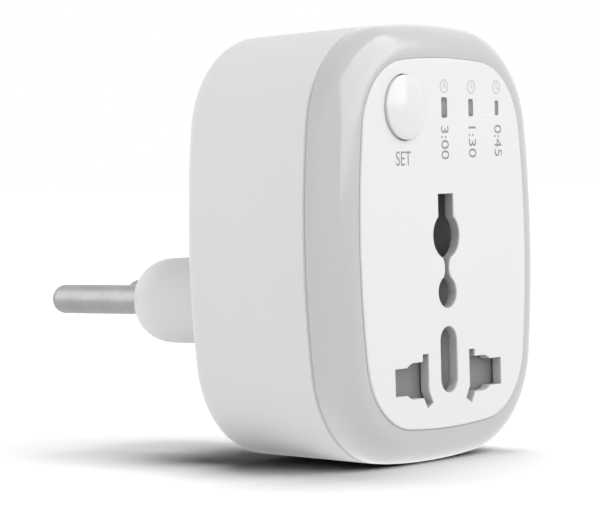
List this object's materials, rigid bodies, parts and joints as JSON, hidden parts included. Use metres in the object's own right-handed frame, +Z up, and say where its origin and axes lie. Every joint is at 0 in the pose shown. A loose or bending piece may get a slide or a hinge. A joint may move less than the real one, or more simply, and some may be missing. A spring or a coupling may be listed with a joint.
{
  "type": "surge protector with timer",
  "caption": "Plug-in surge protector with timer: rounded white housing, universal socket behind shutters, set button and time lamps on the face, round-pin mains plug behind.",
  "frame": {"origin": "midway between the plug pins, on the nose plane of the plug", "axes": "+Y out along the pins, +Z up, +X to the right seen from the face; the socket face looks along -Y"},
  "size_m": [0.0556, 0.0743, 0.0682],
  "materials": {
    "housing_white": "satin moulded",
    "bezel_gloss": "polished",
    "panel_white": "fine matte texture",
    "button_white": "satin gloss",
    "light_guide": "smoked, clear",
    "led_lens": "clear lens",
    "board_green": "solder mask",
    "black_plastic": "moulded",
    "relay_blue": "moulded case",
    "varistor_blue": "dipped coating",
    "capacitor_yellow": "moulded box",
    "can_sleeve": "shrunk sleeve",
    "fuse_white": "glazed tube",
    "core_grey": "moulded",
    "shutter_grey": "moulded",
    "brass": "stamped strip",
    "nickel": "nickel plated, turned",
    "steel": "zinc plated",
    "wire_brown": "insulated",
    "wire_blue": "insulated"
  },
  "bodies": {
    "housing": {"rear_housing": "housing_white", "front_bezel": "bezel_gloss", "face_panel": "panel_white", "switch_body": "black_plastic", "light_guide_left": "light_guide", "light_guide_middle": "light_guide", "light_guide_right": "light_guide", "led_left": "led_lens", "led_middle": "led_lens", "led_right": "led_lens", "control_board": "board_green", "board_screws": "steel", "timer_chip": "black_plastic", "bridge_rectifier": "black_plastic", "relay": "relay_blue", "surge_varistor": "varistor_blue", "dropper_capacitor": "capacitor_yellow", "reservoir_capacitor": "can_sleeve", "thermal_fuse": "fuse_white", "socket_core": "core_grey", "contact_retainer": "core_grey", "line_contact": "brass", "neutral_contact": "brass", "line_shutter_spring": "steel", "neutral_shutter_spring": "steel", "line_pin": "nickel", "neutral_pin": "nickel", "line_feed_wire": "wire_brown", "neutral_feed_wire": "wire_blue", "line_load_wire": "wire_brown", "neutral_load_wire": "wire_blue"},
    "button": {"set_button": "button_white"},
    "plunger": {"switch_plunger": "black_plastic"},
    "line_flap": {"line_shutter": "shutter_grey"},
    "neutral_flap": {"neutral_shutter": "shutter_grey"}
  },
  "joints": [
    {"name": "button_press", "type": "slide", "parent": "housing", "child": "button", "axis": [0, 1, 0], "range_m": [0, 0.0005], "stiffness_N_per_m": 2500, "springref_m": -0.0003},
    {"name": "plunger_press", "type": "slide", "parent": "housing", "child": "plunger", "axis": [0, 1, 0], "range_m": [0, 0.0005]},
    {"name": "line_shutter_swing", "type": "hinge", "parent": "housing", "child": "line_flap", "pos_m": [0.0098, -0.0516, -0.00645], "axis": [1, 0, 0], "range_deg": [0, 85], "stiffness_Nm_per_rad": 0.0008, "springref_deg": -17.19, "deforming": ["line_shutter_spring"]},
    {"name": "neutral_shutter_swing", "type": "hinge", "parent": "housing", "child": "neutral_flap", "pos_m": [-0.0098, -0.0516, -0.00645], "axis": [1, 0, 0], "range_deg": [0, 85], "stiffness_Nm_per_rad": 0.0008, "springref_deg": -17.19, "deforming": ["neutral_shutter_spring"]}
  ],
  "couplings": [
    {"joint": "plunger_press", "follows": "button_press", "ratio": 1}
  ]
}
